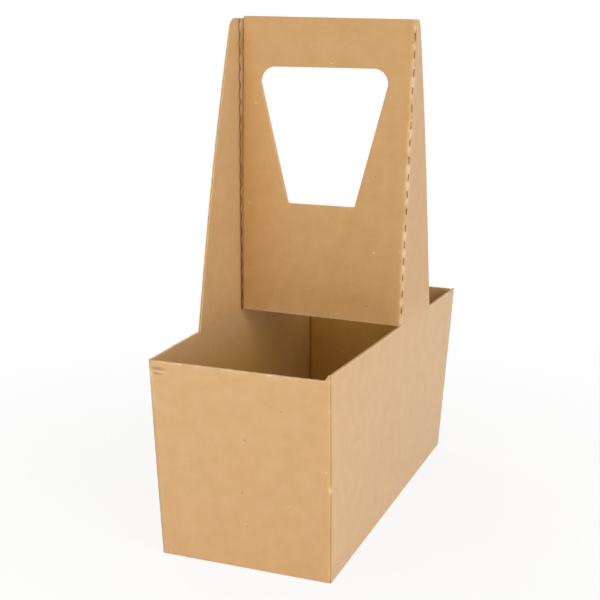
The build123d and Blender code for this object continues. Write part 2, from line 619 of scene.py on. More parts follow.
@dataclass(frozen=True)
class CutFlutedEdge:
    """Edge of fine-flute board, cut by a die.

    To the eye it is pale, matt and fuzzy, with both liners and the wave of the fluting between them
    standing out a little from the hollows, which are darkened with painted shade.
    """

    name: str = "die_cut_flute_edge"
    paper: str = "#E6C493"
    # Painted shade in the hollows between the liners and the fluting
    hollow_shade: str = "#C1945D"
    # Real sizes in millimetres
    board: float = 1.5
    liner: float = 0.24
    flute_pitch: float = 3.2
    fuzz_size: float = 0.6

    def material(self) -> bpy.types.Material:
        """Makes the edge's material: liners and fluting pale, painted shade in the hollows between them.

        Returns:
            The new material.
        """
        made = bpy.data.materials.new(self.name)
        made.use_nodes = True
        tree = made.node_tree
        tree.nodes.clear()
        blank = add_node(tree, "ShaderNodeAttribute", {"attribute_name": "blank"}).outputs["Vector"]
        # The wave runs along the blank's X, and Z is the depth below the outer face
        apart = add_node(tree, "ShaderNodeSeparateXYZ", inputs={0: blank})
        turn = add_node(
            tree,
            "ShaderNodeMath",
            {"operation": "MULTIPLY"},
            {0: apart.outputs["X"], 1: 2 * math.pi / self.flute_pitch},
        )
        swing = add_node(tree, "ShaderNodeMath", {"operation": "SINE"}, {0: turn.outputs["Value"]})
        middle = add_node(
            tree,
            "ShaderNodeMath",
            {"operation": "MULTIPLY_ADD"},
            {0: swing.outputs["Value"], 1: self.board / 2 - self.liner, 2: self.board / 2},
        )
        off = add_node(
            tree,
            "ShaderNodeMath",
            {"operation": "SUBTRACT"},
            {0: apart.outputs["Z"], 1: middle.outputs["Value"]},
        )
        from_wave = add_node(tree, "ShaderNodeMath", {"operation": "ABSOLUTE"}, {0: off.outputs["Value"]})
        # The nearer of the wave and a liner's middle says how far a place is from paper
        centred = add_node(
            tree,
            "ShaderNodeMath",
            {"operation": "SUBTRACT"},
            {0: apart.outputs["Z"], 1: self.board / 2},
        )
        spread = add_node(tree, "ShaderNodeMath", {"operation": "ABSOLUTE"}, {0: centred.outputs["Value"]})
        from_liner = add_node(
            tree,
            "ShaderNodeMath",
            {"operation": "SUBTRACT"},
            {0: self.board / 2 - self.liner / 2, 1: spread.outputs["Value"]},
        )
        nearest = add_node(
            tree,
            "ShaderNodeMath",
            {"operation": "MINIMUM"},
            {0: from_wave.outputs["Value"], 1: from_liner.outputs["Value"]},
        )
        fuzz = add_node(
            tree,
            "ShaderNodeTexNoise",
            inputs={"Vector": blank, "Scale": 1 / self.fuzz_size, "Detail": 3.0, "Roughness": 0.7},
        )
        torn = add_node(
            tree,
            "ShaderNodeMath",
            {"operation": "MULTIPLY_ADD"},
            {0: fuzz.outputs["Fac"], 1: 0.3, 2: nearest.outputs["Value"]},
        )
        depth = add_node(
            tree,
            "ShaderNodeMapRange",
            inputs={"Value": torn.outputs["Value"], "From Min": 0.22, "From Max": 0.45},
        )
        # Paper on the liners and fluting, painted shade in the hollows
        colour = add_node(
            tree,
            "ShaderNodeMix",
            {"data_type": "RGBA"},
            {0: depth.outputs["Result"], 6: linear(self.paper), 7: linear(self.hollow_shade)},
        )
        bump = add_node(
            tree,
            "ShaderNodeBump",
            {"invert": True},
            {"Height": torn.outputs["Value"], "Strength": 0.5, "Distance": 0.2 * MM},
        )
        shader = add_node(
            tree,
            "ShaderNodeBsdfPrincipled",
            inputs={
                "Base Color": colour.outputs[2],
                "Roughness": 0.85,
                "Specular IOR Level": 0.2,
                "Normal": bump.outputs["Normal"],
            },
        )
        add_node(tree, "ShaderNodeOutputMaterial", inputs={"Surface": shader.outputs["BSDF"]})
        return made


@dataclass
class CardSheet:
    """One cut and folded part of the board, made flat and then placed fold by fold.

    Flat points are millimetres along and up the part, and depth runs in from the outer face.
    """

    name: str
    sizes: CartonSizes
    spring: SprungCard
    # The mesh: its grid, steps along a cut, rows beside a cut, and how close two points may come
    grid: float = 3.0
    edge_step: float = 1.4
    rows_beside: tuple[float, ...] = (0.45, 1.0)
    crowd: float = 0.17
    # How far the die has pinched each face at a bare edge, and how far in that reaches
    pinch: float = 0.3
    pinch_width: float = 0.7
    # The inside of a knife slit: its depth, and the painted shade on its floor
    pocket_depth: float = 0.5
    pocket_shade: float = 0.3
    # The round left on the inner face of a base fold, and the angle from which an edge looks hard
    inner_round: float = 0.05
    hard_angle: float = 48.0

    def loops(self) -> list[np.ndarray]:
        """Cut lines of the flat part: its outline, then its holes."""
        raise NotImplementedError

    def slits(self) -> list[np.ndarray]:
        """Knife slits that open only the outer face, where a fold stretches it."""
        return []

    def seeds(self) -> np.ndarray:
        """Points inside the flat part that its mesh passes through."""
        raise NotImplementedError

    def joined(self, flat: np.ndarray) -> np.ndarray:
        """Which points of the outline run on into another part of the sheet."""
        return np.zeros(len(flat), bool)

    def place(self, flat: np.ndarray, depth: np.ndarray, layer: Layer) -> np.ndarray:
        """Folds flat points at a depth below the outer face into the carrier."""
        raise NotImplementedError

    def blank(self, flat: np.ndarray) -> np.ndarray:
        """Where flat points lie on the whole die-cut sheet."""
        return flat

    def marks(self, flat: np.ndarray, layer: Layer) -> tuple[np.ndarray, np.ndarray]:
        """Crease darkness with painted shade, and rubbed wear with painted highlights, of flat points on a
        face.
        """
        return np.zeros(len(flat)), np.zeros(len(flat))

    def base_round(self, depth: np.ndarray, turn: np.ndarray) -> tuple[np.ndarray, np.ndarray, np.ndarray]:
        """Section of the tight fold between a wall and its base flap.

        Args:
            depth: Depth of each point below the outer face.
            turn: Angle of each point round the fold, from the wall down.

        Returns:
            Distance of the round's centre from both faces, then the point's distances from each.
        """
        centre = np.maximum(self.sizes.base_fold_radius, depth + self.inner_round)
        left = centre - depth
        return centre, centre - left * np.cos(turn), centre - left * np.sin(turn)

    def grid_points(self, columns: list[float], low: float, high: float, step: float) -> np.ndarray:
        """Points at every column, in rows from low to high.

        Args:
            columns: Places along the sheet.
            low: Lowest row.
            high: Highest row.
            step: Greatest height of a row.

        Returns:
            The points, one row each.
        """
        rows = np.linspace(low, high, max(2, math.ceil((high - low) / step) + 1))
        return np.array([(c, r) for c in columns for r in rows])

    def cut_points(self, loops: list[np.ndarray]) -> np.ndarray:
        """Points of the cut lines that are bare edges, where the die has pinched the board."""
        cut = np.vstack(loops)
        return cut[~self.joined(cut)]

    def edge_rows(self, loops: list[np.ndarray]) -> np.ndarray:
        """Rows of points just inside the cut lines, which carry the pinched edge.

        Args:
            loops: The outline and the holes.

        Returns:
            The points, on both sides of each line, one row each.
        """
        made = []
        for loop in loops:
            way = np.roll(loop, -1, axis=0) - np.roll(loop, 1, axis=0)
            way /= np.linalg.norm(way, axis=1)[:, None]
            across = np.column_stack((-way[:, 1], way[:, 0]))
            for far in self.rows_beside:
                made += [loop + across * far, loop - across * far]
        return np.vstack(made)

    def thinned(self, cut: np.ndarray, inner: np.ndarray) -> list[np.ndarray]:
        """Leaves out the inner points that crowd a cut line or one another.

        Args:
            cut: Points of the cut lines.
            inner: Points inside them, those to be kept first in front.

        Returns:
            The inner points that stay.
        """
        cell = 2 * self.crowd
        taken: dict[tuple[int, int], list[np.ndarray]] = {}
        stay = []
        for k, p in enumerate((*cut, *inner)):
            column, row = round(p[0] / cell), round(p[1] / cell)
            around = [(column + i, row + j) for i in (-1, 0, 1) for j in (-1, 0, 1)]
            near = [q for key in around for q in taken.get(key, ())]
            if any((q[0] - p[0]) ** 2 + (q[1] - p[1]) ** 2 <= self.crowd**2 for q in near):
                continue
            taken.setdefault((column, row), []).append(p)
            if k >= len(cut):
                stay.append(p)
        return stay

    def flat_mesh(self, loops: list[np.ndarray], slits: list[np.ndarray]) -> tuple[np.ndarray, ...]:
        """Fills the cut lines with triangles.

        Args:
            loops: The outline and the holes.
            slits: The knife slits.

        Returns:
            Flat points, triangles that run anticlockwise seen from outside, and which are in slits.
        """
        points, edges = [], []
        for loop in (*loops, *slits):
            start = len(points)
            points.extend(loop)
            edges.extend((start + i, start + (i + 1) % len(loop)) for i in range(len(loop)))
        cut = np.array(points)
        inner = np.vstack((self.edge_rows(loops), self.seeds()))
        inner = inner[within(inner, [*loops, *slits])]
        chosen = [*cut, *self.thinned(cut, inner)]
        # Output type 0 fills the whole hull; the triangles off the card are dropped below
        filled = delaunay_2d_cdt([Vector(p) for p in chosen], edges, [], 0, 1e-6)
        flat = np.array([tuple(v) for v in filled[0]])
        triangles = np.array([tuple(f) for f in filled[2]])
        triangles = triangles[within(flat[triangles].mean(axis=1), loops)]
        a, b, c = (flat[triangles[:, k]] for k in range(3))
        ab, ac = b - a, c - a
        turned = ab[:, 0] * ac[:, 1] - ab[:, 1] * ac[:, 0] < 0
        triangles[turned] = triangles[turned][:, ::-1]
        in_slit = within(flat[triangles].mean(axis=1), slits)
        return flat, triangles, in_slit

    def pinched(self, flat: np.ndarray, loops: list[np.ndarray]) -> np.ndarray:
        """How far each face is pressed in near a cut edge.

        Args:
            flat: Flat points, one row each.
            loops: The outline and the holes.

        Returns:
            Millimetres for each point.
        """
        cut = self.cut_points(loops)
        far = np.array([np.min(np.sum((cut - p) ** 2, axis=1)) for p in flat])
        return self.pinch * np.exp(-far / self.pinch_width**2)

    def skin(
        self, count: int, triangles: np.ndarray, in_slit: np.ndarray, floor: np.ndarray
    ) -> tuple[list[tuple[int, ...]], list[int]]:
        """Joins the two liners along every cut, and closes each slit with a pocket.

        Args:
            count: Number of flat points; each liner has them all, and the pockets' floors come last.
            triangles: Triangles of the flat part.
            in_slit: Which triangles are in slits.
            floor: Flat points that the pockets' floors repeat.

        Returns:
            The faces, and the material slot of each.
        """
        outside, pocket = triangles[~in_slit], triangles[in_slit]
        lookup = {int(v): 2 * count + k for k, v in enumerate(floor)}
        used, slit_rim = (
            {(int(f[k]), int(f[(k + 1) % 3])) for f in some for k in range(3)} for some in (outside, pocket)
        )
        faces = [tuple(int(v) for v in f) for f in outside]
        faces += [tuple(lookup[int(v)] for v in f) for f in pocket]
        kinds = [Layer.OUTER_LINER.value] * len(triangles)
        faces += [tuple(int(v) + count for v in f[::-1]) for f in triangles]
        kinds += [Layer.INNER_LINER.value] * len(triangles)
        for i, j in used:
            if (j, i) in used:
                continue
            if (j, i) in slit_rim:
                faces.append((j, i, lookup[i], lookup[j]))
                kinds.append(Layer.OUTER_LINER.value)
            else:
                faces.append((j, i, i + count, j + count))
                kinds.append(Layer.CUT_EDGE.value)
        return faces, kinds

    def note(self, mesh: bpy.types.Mesh, flat: np.ndarray, floor: np.ndarray) -> None:
        """Writes on each point what the finishes read: its place on the blank, crease with painted shade,
        and wear with painted highlights.

        Args:
            mesh: Mesh with an outer face, an inner face and the pockets' floors, in this order.
            flat: Flat points of both faces.
            floor: Flat points that the pockets' floors repeat.
        """
        layers = ((flat, 0.0), (flat, self.sizes.board), (flat[floor], self.pocket_depth))
        blank = [np.column_stack((self.blank(f), np.full(len(f), depth))) for f, depth in layers]
        kept = mesh.attributes.new("blank", "FLOAT_VECTOR", "POINT")
        kept.data.foreach_set("vector", np.vstack(blank).ravel())
        marks = [self.marks(flat, layer) for layer in (Layer.OUTER_LINER, Layer.INNER_LINER)]
        # The pockets' floors are darkened with painted shade
        marks.append((np.full(len(floor), self.pocket_shade), np.zeros(len(floor))))
        for k, name in enumerate(("crease_and_shade", "wear_and_highlight")):
            kept = mesh.attributes.new(name, "FLOAT", "POINT")
            kept.data.foreach_set("value", np.concatenate([m[k] for m in marks]).clip(0, 1))

    def build(self) -> bpy.types.Object:
        """Makes the folded part with its two liners, its cut edges and its slits.

        Returns:
            The new object, in the carrier's place.
        """
        loops, slits = self.loops(), self.slits()
        flat, triangles, in_slit = self.flat_mesh(loops, slits)
        press = self.pinched(flat, loops)
        floor = np.unique(triangles[in_slit])
        layers = (
            (flat, press, Layer.OUTER_LINER),
            (flat, self.sizes.board - press, Layer.INNER_LINER),
            (flat[floor], np.full(len(floor), self.pocket_depth), Layer.CUT_EDGE),
        )
        solid = np.vstack([self.spring.bend(self.place(f, d, k)) for f, d, k in layers if len(f)]) * MM
        faces, kinds = self.skin(len(flat), triangles, in_slit, floor)
        mesh = bpy.data.meshes.new(self.name)
        mesh.from_pydata([tuple(p) for p in solid], [], faces)
        mesh.polygons.foreach_set("material_index", kinds)
        mesh.polygons.foreach_set("use_smooth", [True] * len(faces))
        self.note(mesh, flat, floor)
        mesh.set_sharp_from_angle(angle=math.radians(self.hard_angle))
        made = bpy.data.objects.new(self.name, mesh)
        bpy.context.scene.collection.objects.link(made)
        return made

    def dress(self, made: bpy.types.Object, finishes: list[bpy.types.Material]) -> bpy.types.Object:
        """Gives the part its liners and cut edge, and its place in the carrier.

        Args:
            made: The folded part.
            finishes: Materials in the order of the layers.

        Returns:
            The same part.
        """
        for finish in finishes:
            made.data.materials.append(finish)
        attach(made, "root")
        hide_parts("carrier")
        return made


@dataclass
class TubWalls(CardSheet):
    """The four walls in one run round the tub, and the glue flap that closes them."""

    glue_flap_width: float = 24.0
    glue_flap_margin: float = 7.0
    seam_inset: float = 1.6
    wing_foot: float = 51.5
    ragged: float = 0.05
    pinch: float = 0.16
    # Rubbed spots: height and size on every corner fold, place and size along the front rim
    corner_nicks: tuple[tuple[float, float], ...] = ((84.0, 1.1), (6.3, 1.1), (47.0, 0.7), (96.5, 1.4))
    rim_nicks: tuple[tuple[float, float], ...] = ((16.5, 1.2), (25.8, 0.9), (61.0, 0.6))
    # Wrinkles beside the crushed corner: how far below the rim, where each starts to fade and over
    # what length, its half width, and its share of the wrinkle's height, below 0 for a hollow
    wrinkle: float = 0.6
    wrinkles: tuple[tuple[float, ...], ...] = (
        (4.95, 8.0, 4.0, 0.5, 0.7),
        (3.7, 6.0, 5.0, 0.5, -1.0),
        (6.1, 4.5, 4.5, 0.55, -0.8),
    )

    def corners(self) -> list[float]:
        """Places of the three folded corners along the run."""
        s = self.sizes
        return [s.rim_width, s.rim_width + s.rim_length, 2 * s.rim_width + s.rim_length]

    def loops(self) -> list[np.ndarray]:
        """Draws the run: the base fold below, the glue flap at one end, the rim above.

        Returns:
            The outline alone.
        """
        s = self.sizes
        back_left, front_left, front_right = self.corners()
        end = front_right + s.rim_length
        low, high, shoulder = s.end_wall_height, s.rim_height, s.board
        outline = [
            (0.0, 0.0),
            (end, 0.0),
            (end, low),
            (front_right, high),
            (front_right - shoulder, high),
            (front_right - 2 * shoulder, low + 0.3),
            (front_right - 3 * shoulder, low),
            (front_left, low),
            (back_left, high),
            (back_left - shoulder, high),
            (back_left - 2 * shoulder, low + 0.3),
            (back_left - 3 * shoulder, low),
            (-0.6, low - 0.1),
            (-2.4, low - 1.5),
            (-self.glue_flap_width, low - self.glue_flap_margin),
            (-self.glue_flap_width, 3 + self.glue_flap_margin),
            (-0.8, 3.0),
        ]
        line = stepped(outline, self.edge_step)
        ragged = np.random.default_rng(7).normal(0, self.ragged, len(line))
        on_rim = (line[:, 1] > low - 0.2) & ~self.joined(line)
        line[:, 1] += np.where(on_rim, ragged, 0)
        return [line]

    def seeds(self) -> np.ndarray:
        """Lays a grid over the walls, closer at each fold and at the crushed corner.

        Returns:
            The points, one row each.
        """
        s = self.sizes
        end = self.corners()[-1] + s.rim_length
        columns = list(np.arange(-self.glue_flap_width + 2, end, self.grid))
        folds = (-s.fold_radius, -1.1, -0.55, 0.0, 0.55, 1.1, s.fold_radius)
        near = [c + f for c in (0.0, *self.corners()) for f in (*folds, -2.4, 2.4)]
        columns = [c for c in columns if all(abs(c - n) > 0.6 for n in near)] + near
        walls = self.grid_points(columns, 2.0, s.rim_height, self.grid)
        base = self.grid_points(columns, 0.0, s.base_fold_radius, 0.27)
        corner = self.corners()[1]
        patch = np.arange(corner - 4, corner + 14, 0.6)
        crush = self.grid_points(list(patch), s.end_wall_height - 14, s.end_wall_height, 0.5)
        return np.vstack((walls, base, crush))

    def rim_over(self, along: np.ndarray) -> np.ndarray:
        """Finds the rim, which is level on the end walls and falls along the side walls.

        Args:
            along: Places along the run.

        Returns:
            Height of the rim at each place.
        """
        s = self.sizes
        rim = np.full(len(along), s.end_wall_height)
        for side in Side:
            place = along - s.wall_middle(side)
            rim = np.where(np.abs(place) < s.rim_length / 2, s.rim_at(place), rim)
        return rim

    def joined(self, flat: np.ndarray) -> np.ndarray:
        """Finds the points on the base fold and on the rim under each wing.

        Args:
            flat: Flat points, one row each.

        Returns:
            True for each point where the sheet runs on.
        """
        s = self.sizes
        along, up = flat.T
        under = np.zeros(len(flat), bool)
        for side in Side:
            place = along - s.wall_middle(side) - side.value * self.spring.handle_shift
            under |= (place > -0.6) & (place < self.wing_foot + 0.3)
        return (up < 0.1) | (under & (up > s.end_wall_height - 0.5))

    def marks(self, flat: np.ndarray, layer: Layer) -> tuple[np.ndarray, np.ndarray]:
        """A fine dark line along each corner fold and rubbed spots at the corners, with painted light and
        shade at the inside corners, the pinholes, the crushed corner's wrinkles and the front left fold.

        Args:
            flat: Flat points, one row each.
            layer: Face that the points are on.

        Returns:
            Crease darkness with painted shade, and wear with painted highlights, of each point.
        """
        s, up = flat.T
        crease_and_shade, wear_and_highlight = np.zeros(len(flat)), np.zeros(len(flat))
        for corner in (0.0, *self.corners()):
            if layer is Layer.INNER_LINER:
                # A painted highlight on one flank of the fold and painted shade on the other
                wear_and_highlight = np.maximum(wear_and_highlight, 0.5 * bell(s - corner - 2.1, 0.5))
                crease_and_shade = np.maximum(crease_and_shade, 0.5 * bell(s - corner + 2.3, 0.8))
                continue
            crease_and_shade = np.maximum(crease_and_shade, 0.45 * bell(s - corner, 0.42))
            for height, size in self.corner_nicks:
                wear_and_highlight = np.maximum(wear_and_highlight, 1.4 * bell(s - corner + 0.5, 0.9) * bell(up - height, size))
            # The three folds of a bottom corner leave a pinhole between them, drawn as a spot of painted
            # shade
            crease_and_shade = np.maximum(crease_and_shade, bell(s - corner, 0.5) * bell(up - 0.4, 0.6))
        end = self.corners()[-1] + self.sizes.rim_length
        wear_and_highlight = np.maximum(wear_and_highlight, bell(s - end, 2.2) * bell(up, 2.0))
        if layer is Layer.OUTER_LINER:
            # Painted shade in the wrinkles' hollows and a painted highlight on their ridges
            hollow_shade = (-self.crushed(s, up) / self.wrinkle).clip(-1, 1)
            crease_and_shade = np.maximum(crease_and_shade, 0.4 * hollow_shade)
            wear_and_highlight = np.maximum(wear_and_highlight, -0.9 * hollow_shade)
            past = s - self.corners()[1]
            # A painted highlight down the upper part of the front left corner fold
            wear_and_highlight = np.maximum(wear_and_highlight, smooth((up - 66) / 28) * bell(past - 0.6, 1.6))
            rim = self.rim_over(s)
            bare = ~self.joined(np.column_stack((s, rim)))
            wear_and_highlight = np.maximum(wear_and_highlight, 0.4 * bare * bell(rim - up, 1.0))
            below = self.sizes.end_wall_height - up
            for place, size in self.rim_nicks:
                wear_and_highlight = np.maximum(wear_and_highlight, 1.5 * bell(past - place, size) * bell(below, 0.8))
        return crease_and_shade, wear_and_highlight

    def place(self, flat: np.ndarray, depth: np.ndarray, layer: Layer) -> np.ndarray:
        """Wraps the run round the tub, with a round at each corner and half of the base's round.

        Args:
            flat: Places along the run and heights, one row each.
            depth: Depth of each point below the outer face.
            layer: Face that the points are on.

        Returns:
            Points in millimetres, one row each.
        """
        size, radius = self.sizes, self.sizes.fold_radius
        s, up = flat.T
        base = size.base_fold_radius
        turn = (base - up).clip(0, base) / base * math.pi / 4
        centre, inset, z = self.base_round(depth, turn)
        inset = np.where(up < base, inset, depth)
        z = np.where(up < base, z, up + (centre - base) * np.exp((base - up.clip(base, None)) / 3.0))
        starts = np.array([0.0, *self.corners()])
        wall = np.clip(np.searchsorted(starts, s, side="right") - 1, 0, 3)
        length = np.array([size.rim_width, size.rim_length] * 2)[wall]
        on_end = wall % 2 == 0
        half = np.where(on_end, size.half_width(z), size.half_length(z))
        out = np.where(on_end, size.half_length(z), size.half_width(z))
        along = ((s - starts[wall]) / length - 0.5) * 2 * half
        seam = (wall == 0) & (along < 0)
        reach = np.where(seam, half - self.seam_inset, half)
        along = np.where(seam, along * reach / half, along)
        raw_end = (wall == 3) & (along > 0)
        past = np.where(raw_end, 0, np.abs(along) - (reach - radius)).clip(0, None)
        angle = past / radius * math.pi / 4
        round_along = np.sign(along) * (reach - radius + (radius - inset) * np.sin(angle))
        tangent = np.where(past > 0, round_along, along)
        normal = np.where(past > 0, out - radius + (radius - inset) * np.cos(angle), out - inset)
        flap = s < 0
        fold = (0.5 + (-s / radius).clip(0, 1) * 0.5) * math.pi / 2
        flat_on = (-s - radius).clip(0, None)
        tangent = np.where(flap, -(reach - radius + (radius - depth) * np.sin(fold)), tangent)
        normal = np.where(flap, out - radius + (radius - depth) * np.cos(fold) - flat_on, normal)
        ways = np.array([(-1, 0), (0, -1), (1, 0), (0, 1)], float)[wall]
        faces = np.array([(0, 1), (-1, 0), (0, -1), (1, 0)], float)[wall]
        plan = ways * tangent[:, None] + faces * (normal + self.crushed(s, up))[:, None]
        return np.column_stack((plan, z))

    def crushed(self, s: np.ndarray, up: np.ndarray) -> np.ndarray:
        """Raises the small wrinkles beside the crushed front left corner of the rim.

        Args:
            s: Places along the run.
            up: Heights.

        Returns:
            How far each point stands out from its wall.
        """
        past = s - self.corners()[1]
        below = self.sizes.end_wall_height - up
        lift = np.zeros(len(s))
        for drop, fade, length, width, share in self.wrinkles:
            lift += share * (1 - smooth((past - fade) / length)) * bell(below - drop, width)
        return self.wrinkle * smooth((past - 0.8) / 1.6) * lift


@dataclass
class HandleLeaf(CardSheet):
    """One wing over a side wall and the handle panel hinged on its perforated front fold."""

    side: Side = Side.RIGHT
    curl: float = 0.0
    sag: float = 0.0
    wing_foot: float = 51.5
    wing_tip: float = 8.0
    wing_bulge: float = 3.0
    wing_corner_radius: float = 8.0
    hole_top_width: float = 72.0
    hole_bottom_width: float = 36.0
    hole_height: float = 69.85
    hole_top_margin: float = 25.0
    hole_offset: float = 0.0
    hole_top_radius: float = 7.2
    hole_bottom_radius: float = 1.2
    slit_length: float = 3.7
    slit_width: float = 0.38
    slit_pitch: float = 8.55
    slit_taper: float = 0.3
    # What the fold's uncut bridges do: swell inside it, bead outside it, and push its line about
    pucker: float = 0.4
    bead: float = 0.18
    wander: float = 0.4
    ragged: float = 0.035
    pinch: float = 0.08

    @property
    def shift(self) -> float:
        """How far the leaf's foot has slid along its wall's rim, as the leaf is run."""
        return self.side.value * self.spring.handle_shift

    @property
    def bend_length(self) -> float:
        """Length of the fold's round, halfway through the board."""
        return (self.sizes.fold_radius - self.sizes.board / 2) * math.pi / 2

    @property
    def hinge_gap(self) -> float:
        """How far the flat of the wing starts behind the middle plane."""
        return self.sizes.fold_radius - self.sizes.board

    def slit_heights(self) -> np.ndarray:
        """Spaces the slits about the middle of the fold.

        Returns:
            Heights of their middles.
        """
        low, high = self.sizes.middle_rim, self.sizes.fold_top
        count = int((high - low) / self.slit_pitch)
        return (low + high) / 2 + (np.arange(count) - (count - 1) / 2) * self.slit_pitch

    def on_panel(
        self, x: np.ndarray | float, z: np.ndarray | float
    ) -> tuple[np.ndarray | float, np.ndarray | float]:
        """Flat place of a point of the panel, from its place across the carrier and its height."""
        hinge = self.sizes.half_width(z) - self.sizes.fold_radius
        return (x - hinge - self.bend_length, z)

    def loops(self) -> list[np.ndarray]:
        """Draws the wing and the panel in one run, and the hand hole.

        Returns:
            The outline, then the hole.
        """
        s = self.sizes
        hinge = s.half_width(s.middle_rim) - s.board
        far_bottom = s.middle_rim + s.fall * (hinge - s.free_edge(s.middle_rim))
        foot = np.array((self.wing_foot, s.rim_at(self.wing_foot + self.shift)))
        tip = np.array((self.wing_tip, s.fold_top - s.fall * self.wing_tip))
        chord = tip - foot
        away = np.array((chord[1], -chord[0])) / np.linalg.norm(chord)
        bowed = []
        for k in range(1, 14):
            t = k / 14
            bowed.append(foot + chord * t + away * self.wing_bulge * 4 * t * (1 - t))
        gap = self.hinge_gap
        corners = [
            (*self.on_panel(s.free_edge(far_bottom), far_bottom), 0.8),
            (-self.bend_length, s.middle_rim, 0),
            (0.0, s.rim_at(self.shift), 0),
            (foot[0] - gap, foot[1], 0),
            *((p[0] - gap, p[1], 0) for p in bowed),
            (tip[0] - gap, tip[1], self.wing_corner_radius),
            (0.0, s.fold_top, 0),
            (-self.bend_length, s.fold_top, 0),
            (*self.on_panel(s.free_edge(s.overall_height), s.overall_height), 1.0),
        ]
        outline = stepped(rounded(corners), self.edge_step)
        ragged = np.random.default_rng(11 + self.side.value).normal(0, self.ragged, outline.shape)
        loose = (outline[:, 1] > s.middle_rim + 2.5) & (outline[:, 1] < s.fold_top - 1)
        outline += ragged * loose[:, None]
        hole_top = s.overall_height - self.hole_top_margin
        hole_bottom = hole_top - self.hole_height
        top_half, bottom_half = self.hole_top_width / 2, self.hole_bottom_width / 2
        hole = rounded(
            [
                (-bottom_half, hole_bottom, self.hole_bottom_radius),
                (bottom_half, hole_bottom, self.hole_bottom_radius),
                (top_half, hole_top, self.hole_top_radius),
                (-top_half, hole_top, self.hole_top_radius),
            ]
        )
        hand = stepped([self.on_panel(x + self.hole_offset, z) for x, z in hole], self.edge_step)
        return [outline, hand]

    def slits(self) -> list[np.ndarray]:
        """Draws the knife slits of the fold, each a thin spindle a little off its line.

        Returns:
            One outline for each slit.
        """
        made = []
        lean = np.random.default_rng(23 + self.side.value).normal(0, 0.05, len(self.slit_heights()))
        middle = -self.bend_length / 2
        half, wide = self.slit_length / 2, self.slit_width / 2
        blade = half - self.slit_taper
        shape = ((0, -half), (wide, -blade), (wide, blade), (0, half), (-wide, blade), (-wide, -blade))
        for height, off in zip(self.slit_heights(), lean):
            made.append(np.array([(middle + x + off * (1 + y / half), height + y) for x, y in shape]))
        return made

    def joined(self, flat: np.ndarray) -> np.ndarray:
        """The wing's foot on its side wall."""
        a, z = flat.T
        return (a > -0.3) & (z < self.sizes.rim_at(a + self.shift) + 0.3)

    def seeds(self) -> np.ndarray:
        """Lays a grid over wing and panel, closer along the fold and just above the rim.

        Returns:
            The points, one row each.
        """
        s = self.sizes
        width = 2 * s.half_width(s.overall_height)
        bend = self.bend_length
        near = [-bend * k / 6 for k in range(7)]
        for off in (0.25, 0.5, 0.75, 1.0, 1.3, 1.6, 1.9, 2.2):
            near += [off, -bend - off]
        near += [-bend - off for off in (2.5, 2.8, 3.1, 3.4)]
        columns = [c for c in np.arange(-width, self.wing_foot, self.grid) if not -bend - 2.5 < c < 2.5]
        sheet = self.grid_points(columns, s.middle_rim - 1, s.overall_height, self.grid)
        fold = self.grid_points(near, s.middle_rim, s.fold_top, 0.7)
        along_foot = list(np.arange(2.5, self.wing_foot, 2.0))
        foot = self.grid_points(along_foot, s.middle_rim, s.middle_rim + 4, 0.6)
        return np.vstack((sheet, fold, foot))

    def blank(self, flat: np.ndarray) -> np.ndarray:
        """Wing and panel lie above their own side wall on the sheet."""
        return flat + np.array((self.sizes.wall_middle(self.side) + self.hinge_gap, 0.0))

    def risen(self, z: np.ndarray) -> np.ndarray:
        """How far heights are up the handle, from 0 at the rim to 1 at the top."""
        low, high = self.sizes.middle_rim, self.sizes.overall_height
        return ((z - low) / (high - low)).clip(0, 1)

    def bridges(self, z: np.ndarray) -> np.ndarray:
        """How far heights are on the uncut bridges between slits, from 0 to 1."""
        return 0.5 - 0.5 * np.cos(2 * math.pi * (z - self.slit_heights()[0]) / self.slit_pitch)

    def marks(self, flat: np.ndarray, layer: Layer) -> tuple[np.ndarray, np.ndarray]:
        """The bruised line inside the fold deepened with painted shade, the painted shadow of the other
        panel's edge with painted light on the strip before it, the rubbed bridges outside it with a painted
        highlight, and the wing's foot.

        Args:
            flat: Flat points, one row each.
            layer: Face that the points are on.

        Returns:
            Crease darkness with painted shade, and wear with painted highlights, of each point.
        """
        a, z = flat.T
        if layer is Layer.INNER_LINER:
            at_foot = bell(z - self.sizes.rim_at(a), 0.7) * (a > 0)
            line = self.from_corner(a) - self.wander * (2 * self.bridges(z) - 1)
            rise = self.risen(z)
            # The fold's bruised line, deepened with painted shade that is darkest at the rim
            crease_and_shade = (0.85 - 0.3 * rise) * bell(line, 0.36) + 0.12 * at_foot
            # The other panel's free edge lies near this fold: a painted shadow line along that edge, and
            # painted light on the strip between it and the fold
            twin, _ = self.on_panel(-self.sizes.free_edge(z), z)
            edge_shadow = smooth(1.6 * rise - 0.2) * bell(a - twin - 0.75, 0.42)
            lit_strip = (0.25 + 0.65 * rise) * smooth((a - twin - 1.1) / 0.4) * (line < -0.4)
            return np.maximum(crease_and_shade, edge_shadow), lit_strip
        off = a + self.bend_length / 2
        crease_and_shade = 0.25 * bell(off, 0.35)
        # Rubbed wear along the fold with a painted highlight, stronger on the bridges
        wear_and_highlight = (0.35 + 0.35 * self.bridges(z)) * bell(off, 0.9)
        below = z - self.sizes.middle_rim + self.sizes.fall * (a + self.bend_length)
        wear_and_highlight = np.maximum(wear_and_highlight, 0.6 * bell(below, 0.8) * (a < -self.bend_length))
        return crease_and_shade, wear_and_highlight

    def from_corner(self, a: np.ndarray) -> np.ndarray:
        """Distance along the inner face from the corner of the fold, positive on the wing."""
        return np.where(a > 0, a, np.minimum(a + self.bend_length, 0))

